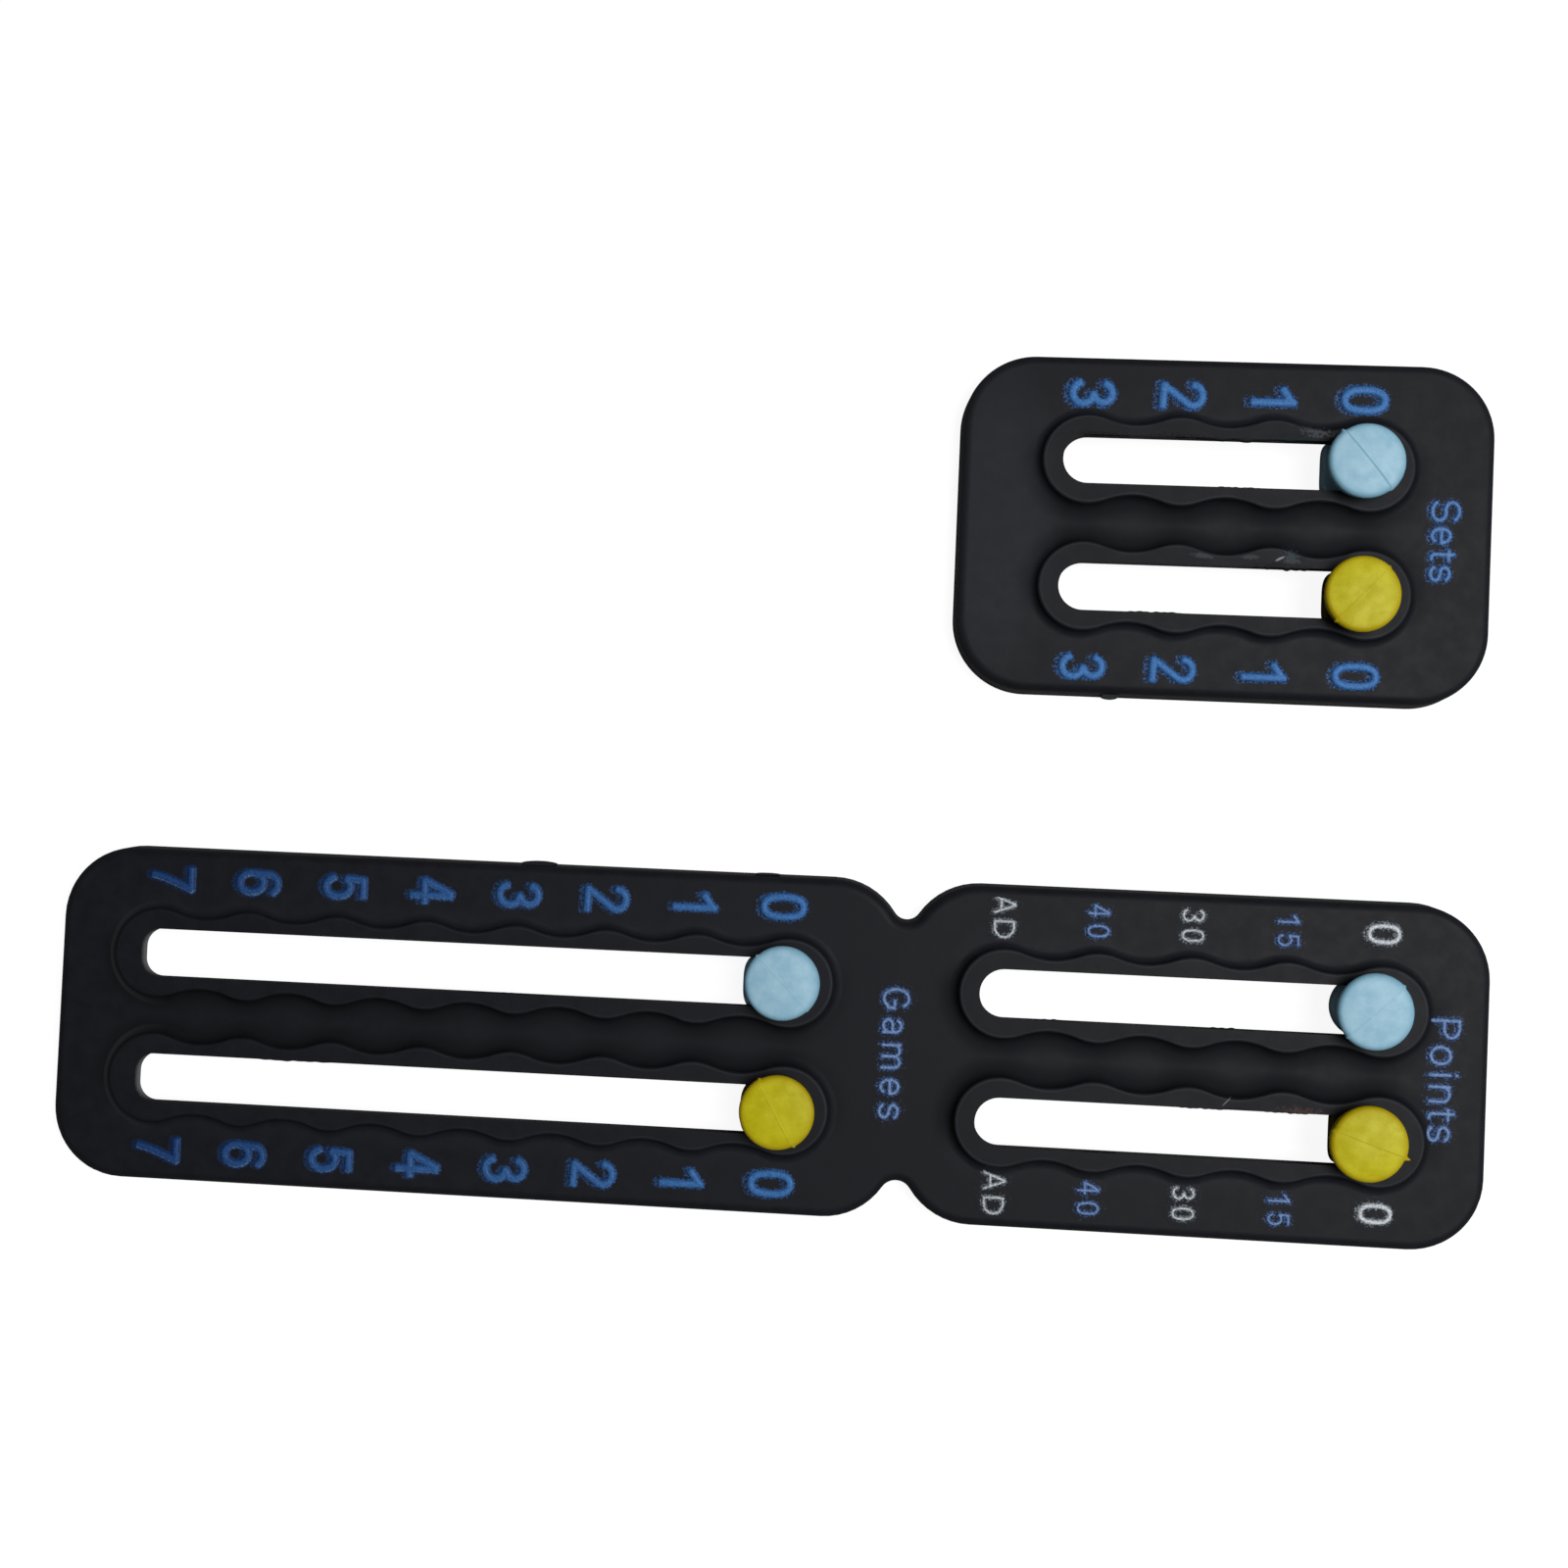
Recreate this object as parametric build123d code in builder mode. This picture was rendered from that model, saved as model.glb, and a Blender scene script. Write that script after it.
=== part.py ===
from build123d import *
from math import atan2, degrees
import os

# Tennis score keeper: two flat moulded rubber plates that lie side by side. The long one counts games
# and points, the small one counts sets. Each counter is a pair of long slots, one slot for each player,
# and a bead rides in every slot and is pushed from number to number.
# Millimetres. The origin is the middle of the long plate's flat back, +X runs from the high numbers to
# the zeros, +Y towards the small plate, and +Z up through the faces that carry the numbers.

# Plates: outline
plate_width = 35.0
corner_radius = 7.6
notch_depth = 4.1  # how far the waist between games and points comes in from each long edge
end_margin = 11.1  # from an end of the long plate to its nearest stop
games_inner_margin = 11.8  # from the games zero stop to the waist
points_inner_margin = 10.15  # from the waist to the highest points stop
sets_margin = 12.95  # from an end of the small plate to its nearest stop

# Plates: section
base_thickness = 3.4
wall_draft = 4.0  # degrees
edge_round = 1.0
land_height = 1.0  # how far the land round a slot stands above the plate
land_edge_round = 0.3
land_foot_round = 0.9
web_thickness = 1.6  # rubber between the top of the land and the channel behind it

# Stops: one for every number along a slot
stop_pitch = 9.44
games_steps = 7
points_steps = 4
sets_steps = 3
row_distance = 13.0  # between the two slots of a counter
slot_width = 5.0
games_slot_corner_share = 0.38  # corner radius of the squarer games slots, as a share of their width
games_slot_inset = 0.7  # how much sooner they end past their highest number
stop_radius = 4.62  # the land is a round of this radius at every stop
land_waist = 3.7  # half the land's width midway between two stops
channel_wall = 0.15  # how far the channel behind the land stays inside the land's outline

# Beads
bead_height = 7.0
head_radius = 3.8
head_flare = 0.45  # how much smaller the head is where it meets the land
head_round = 0.55
head_crown = 0.35  # rise of the head's low dome
foot_radius = 3.15
foot_round = 0.4
neck_clearance = 0.4  # round the neck, in the slot
seat_clearance = 0.15  # under the head and above the foot
back_clearance = 0.3  # from the foot to the surface that the plate lies on

# Places: the small plate beside the long one, and how far the beads stand back from their zero stops
plates_gap = 19.85
sets_end_back = 1.3  # from the end of the long plate to the end of the small one
games_bead_back = 0.4
points_bead_back = 1.35
sets_bead_back = 0.9

# Low bumps on the long edges of the plates, where the moulding gates were trimmed almost flush
gate_height = 1.4
gate_rise = 0.9  # above the flat back
games_gate_length = 3.6
games_gate_reach = 0.3
games_gate_back = 38.6  # from the waist to the middle of the bump
waist_gate_length = 2.6
waist_gate_reach = 0.12
waist_gate_back = 14.6
sets_gate_length = 1.8
sets_gate_reach = 0.3
sets_gate_back = 10.7  # from the middle of the small plate

# Sizes that follow from those above
games_length = end_margin + games_steps * stop_pitch + games_inner_margin
points_length = points_inner_margin + points_steps * stop_pitch + end_margin
sets_length = 2 * sets_margin + sets_steps * stop_pitch
long_end = (games_length + points_length) / 2
waist_x = games_length - long_end
games_zero = waist_x - games_inner_margin
points_zero = long_end - end_margin
sets_zero = sets_length / 2 - sets_margin
sets_place = (long_end - sets_end_back - sets_length / 2, plate_width + plates_gap)
row_y = row_distance / 2
land_top = base_thickness + land_height
channel_height = land_top - web_thickness


def stops(zero, steps):
    """Places along X of a counter's stops, from the highest number to the zero."""
    return [zero - stop_pitch * step for step in range(steps, -1, -1)]


def hollow_between(half_gap, radius, waist):
    """The hollow arc that runs tangent from one round to its neighbour and comes in to the waist:
    its radius, and the angle above the line of centres at which it meets the rounds."""
    hollow = (half_gap**2 + waist**2 - radius**2) / (2 * (radius - waist))
    return hollow, degrees(atan2(waist + hollow, half_gap))


def chain_of_rounds(centres, radius, waist):
    """Closed outline along X: a round at every centre, joined on both sides by hollow arcs."""
    half_gap = (centres[1] - centres[0]) / 2
    hollow, meet = hollow_between(half_gap, radius, waist)
    with BuildSketch() as outline:
        with BuildLine():
            for x in centres:
                first = 180 if x == centres[0] else 180 - meet
                last = 0 if x == centres[-1] else meet
                CenterArc((x, 0), radius, last, first - last)
            for x in centres[:-1]:
                CenterArc((x + half_gap, waist + hollow), hollow, 180 + meet, 180 - 2 * meet)
            mirror(about=Plane.XZ)
        make_face()
    return outline.sketch


def slot_outline(centres):
    """Slot from the first stop to the last, with round ends, or in the games counter squarer ones."""
    run = centres[-1] - centres[0]
    with BuildSketch() as outline:
        with Locations((centres[0] + run / 2, 0)):
            if centres is games_stops:
                length = run + slot_width - games_slot_inset
                with Locations((games_slot_inset / 2, 0)):
                    RectangleRounded(length, slot_width, games_slot_corner_share * slot_width)
            else:
                SlotCenterToCenter(run, slot_width)
    return outline.sketch


# Outlines of the plates, seen from above. The long one is two round-cornered sections that run together
# at the waist, where a hollow arc joins their corners.
with BuildSketch() as long_outline:
    edge_y = plate_width / 2
    corner_y = edge_y - corner_radius
    root = corner_radius - notch_depth
    notch, meet = hollow_between(corner_radius, corner_radius, root)
    with BuildLine():
        Line((long_end, 0), (long_end, corner_y))
        CenterArc((long_end - corner_radius, corner_y), corner_radius, 0, 90)
        Line((long_end - corner_radius, edge_y), (waist_x + corner_radius, edge_y))
        CenterArc((waist_x + corner_radius, corner_y), corner_radius, 90, 90 - meet)
        CenterArc((waist_x, corner_y + root + notch), notch, -meet, 2 * meet - 180)
        CenterArc((waist_x - corner_radius, corner_y), corner_radius, meet, 90 - meet)
        Line((waist_x - corner_radius, edge_y), (-long_end + corner_radius, edge_y))
        CenterArc((-long_end + corner_radius, corner_y), corner_radius, 90, 90)
        Line((-long_end, corner_y), (-long_end, 0))
        mirror(about=Plane.XZ)
    make_face()

with BuildSketch() as sets_outline:
    RectangleRounded(sets_length, plate_width, corner_radius)

games_stops = stops(games_zero, games_steps)
points_stops = stops(points_zero, points_steps)
sets_stops = stops(sets_zero, sets_steps)
plates = {
    "games_points_plate": (long_outline.sketch, (0, 0), (games_stops, points_stops)),
    "sets_plate": (sets_outline.sketch, sets_place, (sets_stops,)),
}
gates = {
    "games_points_plate": (
        (waist_x - games_gate_back, plate_width / 2, games_gate_length, games_gate_reach),
        (waist_x - waist_gate_back, plate_width / 2, waist_gate_length, waist_gate_reach),
    ),
    "sets_plate": ((-sets_gate_back, -plate_width / 2, sets_gate_length, sets_gate_reach),),
}

os.makedirs("parts", exist_ok=True)
for node, (outline, place, counters) in plates.items():
    back = Plane(origin=(*place, 0))
    with BuildPart() as plate:
        with BuildSketch(back):
            add(outline)
        extrude(amount=base_thickness, taper=wall_draft)
        fillet(plate.edges().group_by(Axis.Z)[-1], edge_round)
        # A raised land with scalloped sides runs round every slot
        for centres in counters:
            land = chain_of_rounds(centres, stop_radius, land_waist)
            with BuildSketch(back.offset(base_thickness)):
                with Locations((0, row_y), (0, -row_y)):
                    add(land)
            extrude(amount=land_height)
            fillet(plate.edges(Select.LAST).group_by(Axis.Z)[0], land_foot_round)
        fillet(plate.edges().group_by(Axis.Z)[-1], land_edge_round)
        # Behind it a channel of the same form takes the feet of the beads
        for centres in counters:
            channel = chain_of_rounds(centres, stop_radius - channel_wall, land_waist - channel_wall)
            with BuildSketch(back):
                with Locations((0, row_y), (0, -row_y)):
                    add(channel)
            extrude(amount=channel_height, mode=Mode.SUBTRACT)
            with BuildSketch(back):
                slot = slot_outline(centres)
                with Locations((0, row_y), (0, -row_y)):
                    add(slot)
            extrude(amount=land_top, mode=Mode.SUBTRACT)
        for x, y, length, reach in gates[node]:
            with BuildSketch(back.offset(gate_rise)):
                with Locations((x, y)):
                    Ellipse(length / 2, reach)
            extrude(amount=gate_height)
    plate.part.label = node
    export_step(plate.part, f"parts/{node}.step")

# Half section of a bead: a foot in the channel, a neck in the slot and a low domed head on the land
with BuildSketch() as bead_section:
    neck_radius = slot_width / 2 - neck_clearance
    foot_top = channel_height - seat_clearance
    head_bottom = land_top + seat_clearance
    head_top = back_clearance + bead_height
    rim_top = head_top - head_crown
    with BuildLine() as bead_line:
        Polyline(
            (0, head_top),
            (0, back_clearance),
            (foot_radius, back_clearance),
            (foot_radius, foot_top),
            (neck_radius, foot_top),
            (neck_radius, head_bottom),
            (head_radius - head_flare, head_bottom),
            (head_radius, rim_top - head_round),
            (head_radius, rim_top),
        )
        RadiusArc((head_radius, rim_top), (0, head_top), -(head_radius**2 + head_crown**2) / (2 * head_crown))
    make_face()
    fillet(bead_section.vertices().sort_by_distance((head_radius, rim_top))[0], head_round)
    fillet(bead_section.vertices().sort_by_distance((foot_radius, back_clearance))[0], foot_round)

# A bead stands in every slot, blue in the far row and yellow in the near one
bead_places = {
    "games": games_zero - games_bead_back,
    "points": points_zero - points_bead_back,
    "sets": sets_zero - sets_bead_back,
}
for counter, bead_x in bead_places.items():
    for colour, bead_y in (("blue", row_y), ("yellow", -row_y)):
        origin = (sets_place[0] + bead_x, sets_place[1] + bead_y) if counter == "sets" else (bead_x, bead_y)
        with BuildPart() as bead:
            with BuildSketch(Plane(origin=(*origin, 0), x_dir=(1, 0, 0), z_dir=(0, -1, 0))):
                add(bead_section.sketch)
            revolve(axis=Axis((*origin, 0), (0, 0, 1)))
        bead.part.label = f"{counter}_{colour}_bead"
        export_step(bead.part, f"parts/{bead.part.label}.step")
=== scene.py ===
# %% [markdown]
# Tennis score keeper. Two flat plates of black moulded rubber lie side by side, with small soft beads
# that are pushed along slots from number to number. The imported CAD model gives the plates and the
# beads their shapes and places. This script gives them their surfaces: the skin of the rubber, the
# inked numbers that stand up from it, and the beads with the marks of their mould.

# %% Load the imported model
from math import radians

import bpy
import numpy as np
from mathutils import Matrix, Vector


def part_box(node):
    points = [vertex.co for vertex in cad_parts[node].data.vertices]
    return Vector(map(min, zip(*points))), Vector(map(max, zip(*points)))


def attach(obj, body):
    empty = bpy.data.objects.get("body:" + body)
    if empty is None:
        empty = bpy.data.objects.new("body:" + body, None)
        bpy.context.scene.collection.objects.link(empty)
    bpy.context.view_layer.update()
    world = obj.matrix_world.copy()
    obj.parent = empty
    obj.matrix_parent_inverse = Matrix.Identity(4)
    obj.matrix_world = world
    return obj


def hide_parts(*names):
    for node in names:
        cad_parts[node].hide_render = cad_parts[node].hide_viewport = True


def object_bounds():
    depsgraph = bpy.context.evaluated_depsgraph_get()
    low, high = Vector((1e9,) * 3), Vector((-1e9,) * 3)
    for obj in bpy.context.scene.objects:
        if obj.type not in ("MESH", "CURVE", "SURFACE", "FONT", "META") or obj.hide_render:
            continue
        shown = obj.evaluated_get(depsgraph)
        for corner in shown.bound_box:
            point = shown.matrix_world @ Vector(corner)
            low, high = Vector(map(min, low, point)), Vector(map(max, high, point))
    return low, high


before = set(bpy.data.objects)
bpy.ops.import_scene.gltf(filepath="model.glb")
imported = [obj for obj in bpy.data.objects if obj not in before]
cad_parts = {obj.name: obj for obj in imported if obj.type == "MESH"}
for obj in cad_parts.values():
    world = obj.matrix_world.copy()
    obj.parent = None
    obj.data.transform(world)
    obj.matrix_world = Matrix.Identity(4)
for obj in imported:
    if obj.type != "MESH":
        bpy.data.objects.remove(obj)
cad_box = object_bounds()
MM = 0.001


# %% [markdown]
# The camera hangs over the plates and looks almost straight down. A camera could be aimed by eye, but
# this one was worked out from the places where the outlines, slots and beads come in the picture, so
# it is given as a place, three small turns and a focal length.

# %% Camera
camera_place = (12.9, 22.06, 185.0)  # mm
camera_turns = (1.667, 3.438, 2.498)  # degrees about X, Y and Z
camera_data = bpy.data.cameras.new("camera")
camera_data.sensor_width = 36.0
camera_data.lens = 40.53
camera_data.clip_start = 0.01
camera = bpy.data.objects.new("camera", camera_data)
camera.location = [v * MM for v in camera_place]
camera.rotation_euler = [radians(v) for v in camera_turns]
bpy.context.collection.objects.link(camera)
bpy.context.scene.camera = camera
bpy.context.scene.view_settings.view_transform = "Standard"
print("camera at", camera_place, "mm")


# %% [markdown]
# Materials are made of nodes. Writing each node out takes many lines, so a few short helpers place a
# node, fill in its inputs and hand back the output that is wanted.

# %% Helpers for nodes
def fill(socket, value):
    """Joins the socket to another node's output, or sets it to a plain value."""
    if isinstance(value, bpy.types.NodeSocket):
        socket.id_data.links.new(value, socket)
    else:
        socket.default_value = value


def put(tree, kind, inputs=(), **settings):
    """A new node of that kind in the tree, with its settings made and its inputs filled in."""
    node = tree.nodes.new(kind)
    for name, value in settings.items():
        setattr(node, name, value)
    for name, value in dict(inputs).items():
        fill(node.inputs[name], value)
    return node


def maths(tree, operation, *values, clamp=False):
    """The output of a Math node."""
    node = put(tree, "ShaderNodeMath", operation=operation, use_clamp=clamp)
    for socket, value in zip(node.inputs, values):
        fill(socket, value)
    return node.outputs[0]


def plus(tree, first, second):
    return maths(tree, "ADD", first, second)


def minus(tree, first, second):
    return maths(tree, "SUBTRACT", first, second)


def times(tree, first, second):
    return maths(tree, "MULTIPLY", first, second)


def remap(tree, value, start, end, low=0.0, high=1.0, curve="LINEAR"):
    """Low where the value is at start, high where it is at end, and held at both beyond them."""
    inputs = {"Value": value, "From Min": start, "From Max": end, "To Min": low, "To Max": high}
    return put(tree, "ShaderNodeMapRange", inputs, interpolation_type=curve).outputs[0]


def noise(tree, place, scale, detail, roughness=0.5):
    """Noise from 0 to 1, with so many waves to a metre."""
    inputs = {"Vector": place, "Scale": scale, "Detail": detail, "Roughness": roughness}
    return put(tree, "ShaderNodeTexNoise", inputs).outputs["Fac"]


def attribute(tree, name):
    """A value that the mesh holds at its points, or 0 where it has none of that name."""
    return put(tree, "ShaderNodeAttribute", attribute_name=name).outputs["Fac"]


def blend_colours(tree, amount, first, second):
    """The colour that goes from first to second as amount goes from 0 to 1."""
    node = put(tree, "ShaderNodeMix", data_type="RGBA")
    for index, value in ((0, amount), (6, first), (7, second)):
        fill(node.inputs[index], value)
    return node.outputs[2]


def linear(red, green, blue):
    """A colour as read off a screen, 0 to 255, turned into the light values that shaders use."""
    share = np.array([red, green, blue]) / 255
    values = np.where(share < 0.04045, share / 12.92, ((share + 0.055) / 1.055) ** 2.4)
    return (*values.tolist(), 1.0)


def new_group(name, vectors, floats, outputs):
    """An empty shader group and its inputs, made of names of vectors, names of floats with their
    plain values, and names of float outputs."""
    tree = bpy.data.node_groups.new(name, "ShaderNodeTree")
    for title in vectors:
        tree.interface.new_socket(title, in_out="INPUT", socket_type="NodeSocketVector")
    for title, value in floats.items():
        socket = tree.interface.new_socket(title, in_out="INPUT", socket_type="NodeSocketFloat")
        socket.default_value = value
    for title in outputs:
        tree.interface.new_socket(title, in_out="OUTPUT", socket_type="NodeSocketFloat")
    return tree, put(tree, "NodeGroupInput").outputs


print("middle grey is", linear(128, 128, 128))


# %% [markdown]
# The keeper lies on a white sheet under one broad, soft lamp that hangs high and to the right. A lamp
# nearer the table would put bright lines on the edges of the lands. From up there the flat tops are
# the lightest part of the rubber, and its slopes turn away from the lamp and go dark, as in the photo.
# The sheet is a plain diffuse floor that also glows a little for the camera, so that it reads as white
# without any more light on the black rubber, and it still takes a faint shadow. The room behind it is
# dim for the rubber and white for the camera, so that low views have no dark band over the sheet.

# %% Floor and lamps
floor_half_width = 2.0  # m
floor_drop = 0.05 * MM  # so that the floor and the backs of the plates don't share a plane
given_back = (0.3, 0.3, 0.3, 1)  # what the sheet gives back of the light that falls on it
seen_back = (0.15, 0.15, 0.15, 1)  # the same for the camera, which the glow adds to
sheet_glow = 0.92
room_light = 0.1
room_seen = 0.9


def lay_floor(half_width, drop):
    """A square floor, half_width to each side of the origin and drop below it."""
    corners = [(x * half_width, y * half_width, -drop) for x, y in ((-1, -1), (1, -1), (1, 1), (-1, 1))]
    mesh = bpy.data.meshes.new("floor")
    mesh.from_pydata(corners, [], [(0, 1, 2, 3)])
    floor = bpy.data.objects.new("floor", mesh)
    bpy.context.collection.objects.link(floor)
    return floor


def sheet_material():
    """White sheet: diffuse for the light that it gives back, and partly glowing where it is seen."""
    material = bpy.data.materials.new("white_sheet")
    material.use_nodes = True
    tree = material.node_tree
    tree.nodes.clear()
    path = put(tree, "ShaderNodeLightPath").outputs
    seen = maths(tree, "MAXIMUM", path["Is Camera Ray"], path["Is Transmission Ray"])
    plain = put(tree, "ShaderNodeBsdfDiffuse", {"Color": given_back})
    faint = put(tree, "ShaderNodeBsdfDiffuse", {"Color": seen_back})
    glow = put(tree, "ShaderNodeEmission", {"Color": (1, 1, 1, 1), "Strength": sheet_glow})
    both = put(tree, "ShaderNodeAddShader", {0: faint.outputs[0], 1: glow.outputs[0]})
    mixed = put(tree, "ShaderNodeMixShader", {0: seen, 1: plain.outputs[0], 2: both.outputs[0]})
    put(tree, "ShaderNodeOutputMaterial", {"Surface": mixed.outputs[0]})
    return material


def hang_lamp(name, place, size, power):
    """A square soft lamp that faces the middle of the keeper. Place and size are in metres, and power
    in watts."""
    lamp_data = bpy.data.lights.new(name, "AREA")
    lamp_data.size = size
    lamp_data.energy = power
    lamp = bpy.data.objects.new(name, lamp_data)
    lamp.location = place
    middle = sum((Vector(corner) for corner in cad_box), Vector()) / 2
    lamp.rotation_euler = (middle - lamp.location).to_track_quat("-Z", "Y").to_euler()
    bpy.context.collection.objects.link(lamp)


def build_room():
    """A white world that gives little light, and that the camera sees brighter than the rubber does."""
    world = bpy.data.worlds.new("room")
    world.use_nodes = True
    tree = world.node_tree
    background = tree.nodes["Background"].inputs
    background["Color"].default_value = (1, 1, 1, 1)
    more = times(tree, put(tree, "ShaderNodeLightPath").outputs["Is Camera Ray"], room_seen)
    fill(background["Strength"], plus(tree, more, room_light))
    bpy.context.scene.world = world


lay_floor(floor_half_width, floor_drop).data.materials.append(sheet_material())
hang_lamp("lamp_main", (0.25, 0.05, 0.52), 0.3, 3.0)
build_room()


# %% [markdown]
# Moulded rubber is never quite even. Its skin has a fine grain from the mould, broad shallow waves
# where it shrank, and patches that are a little duller than others. All three come from noise in
# Object coordinates, so the pattern keeps its real size and runs on from the plates into the numbers.

# %% Skin of moulded rubber, as a group
def moulded_skin():
    """Shader group. Height is grain plus broad waves, in mm, and Dullness is a patchy 0 to 1."""
    sizes = {"Grain Size": 0.12, "Grain Height": 0.004, "Wave Size": 6.0, "Wave Height": 0.03}
    tree, given = new_group("moulded_skin", (), sizes, ("Height", "Dullness"))
    place = put(tree, "ShaderNodeTexCoord").outputs["Object"]

    def pattern(size, detail):
        """Noise whose waves have that size in mm."""
        return noise(tree, place, maths(tree, "DIVIDE", 1 / MM, size), detail, 0.6)

    grain = times(tree, pattern(given["Grain Size"], 2.0), given["Grain Height"])
    waves = times(tree, pattern(given["Wave Size"], 1.0), given["Wave Height"])
    patches = pattern(times(tree, given["Wave Size"], 0.3), 3.0)
    dullness = remap(tree, patches, 0.35, 0.65)
    put(tree, "NodeGroupOutput", {"Height": plus(tree, grain, waves), "Dullness": dullness})
    return tree


skin_group = moulded_skin()
print("group:", skin_group.name)


# %% [markdown]
# Round each raised land the rubber is painted darker, as painted shade, on the side towards the middle
# of the plate, and a little paler, as painted light, on the side towards the numbers, with a painted
# highlight on the land's upper edge. To say where that is, a material has to know how far a point is from
# the land's scalloped foot. That could be painted, but the land's outline is simple enough to work out from
# Object coordinates.

# %% Distance from the lands, as a group
stop_pitch = 9.44
row_y = 6.5
land_half_width = (3.7, 4.62)  # midway between two stops, and at a stop
# X of a counter's first and last stops, and Y of the middle between its slots
counters = {
    "games": (-62.895, 3.185, 0.0),
    "points": (25.135, 62.895, 0.0),
    "sets": (31.425, 59.745, 54.85),
}


def land_shade():
    """Shader group. With c the nearest place to x between First and Zero and v = |y - Middle| - row_y,
    the distance from the foot is hypot(x - c, v) - half(c), and half(c) swings as a cosine between the
    land's two half widths. Shade is the mask of painted shade, 1 at the inner foot, and below 0 at the
    outer one, where it is painted light, and it fades to 0. The edge highlight output is 1 on the land's own
    upper edge, where a highlight is painted, and Flank on its side and foot."""
    inputs = {"First": 0.0, "Zero": 0.0, "Middle": 0.0}
    tree, given = new_group("land_shade", (), inputs, ("Shade", "Painted Edge Highlight", "Flank"))
    object_place = put(tree, "ShaderNodeTexCoord").outputs["Object"]
    place = put(tree, "ShaderNodeSeparateXYZ", {"Vector": object_place}).outputs
    x, y = (times(tree, place[axis], 1 / MM) for axis in ("X", "Y"))

    near = maths(tree, "MINIMUM", maths(tree, "MAXIMUM", x, given["First"]), given["Zero"])
    phase = times(tree, minus(tree, near, given["Zero"]), 2 * np.pi / stop_pitch)
    middle, swing = sum(land_half_width) / 2, (land_half_width[1] - land_half_width[0]) / 2
    half = plus(tree, times(tree, maths(tree, "COSINE", phase), swing), middle)
    outward = minus(tree, maths(tree, "ABSOLUTE", minus(tree, y, given["Middle"])), row_y)
    past = minus(tree, x, near)
    squares = (times(tree, side, side) for side in (past, outward))
    distance = minus(tree, maths(tree, "SQRT", plus(tree, *squares)), half)

    # Painted shade at the foot, weaker at the right ends and turning into painted light towards the numbers
    fade = remap(tree, distance, 0.2, 2.7, 1.0, 0.0, "SMOOTHSTEP")
    start = remap(tree, distance, -0.15, 0.1)
    side = remap(tree, outward, 0.5, 3.8, 1.0, -0.25)
    weaken = remap(tree, past, 0.0, 3.0, 1.0, 0.4)
    shade = times(tree, times(tree, fade, start), times(tree, side, weaken))
    # A painted highlight on the land's upper edge
    from_edge = maths(tree, "ABSOLUTE", plus(tree, distance, 0.3))
    rim = remap(tree, from_edge, 0.03, 0.16, 1.0, 0.0, "SMOOTHSTEP")
    from_flank = maths(tree, "ABSOLUTE", minus(tree, distance, 0.4))
    flank = remap(tree, from_flank, 0.3, 0.6, 1.0, 0.0, "SMOOTHSTEP")
    put(tree, "NodeGroupOutput", {"Shade": shade, "Painted Edge Highlight": rim, "Flank": flank})
    return tree


shade_group = land_shade()
print("group:", shade_group.name)


# %% [markdown]
# Use has left a few marks: smears and a scratch on the lands near the beads, and grime along some edges
# of the slots. A mark is an ellipse on the rubber with a ragged border. It could be painted on a
# texture, but then it would need UVs, and an ellipse in Object coordinates stays where it is put. Three
# broad ones without a ragged border stand for places that the light makes paler.

# %% A mark, as a group
def ragged_mark():
    """Shader group. The point is moved to the mark's middle, turned and divided by its half sizes, so
    the border lies where the length of what is left is 1, and Mask is 1 inside, 0 outside."""
    tree, given = new_group("ragged_mark", ("Middle", "Half Size", "Turn"), {"Ragged": 0.0}, ("Mask",))
    place = put(tree, "ShaderNodeTexCoord").outputs["Object"]
    moves = {"Vector": place, "Location": given["Middle"], "Rotation": given["Turn"],
             "Scale": given["Half Size"]}
    local = put(tree, "ShaderNodeMapping", moves, vector_type="TEXTURE").outputs[0]
    reach = put(tree, "ShaderNodeVectorMath", {0: local}, operation="LENGTH").outputs["Value"]
    swing = minus(tree, noise(tree, place, 3600.0, 3.0), 0.5)
    uneven = times(tree, swing, times(tree, given["Ragged"], 6.0))
    mask = remap(tree, plus(tree, reach, uneven), 0.6, 1.1, 1.0, 0.0)
    put(tree, "NodeGroupOutput", {"Mask": mask})
    return tree


mark_group = ragged_mark()
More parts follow.
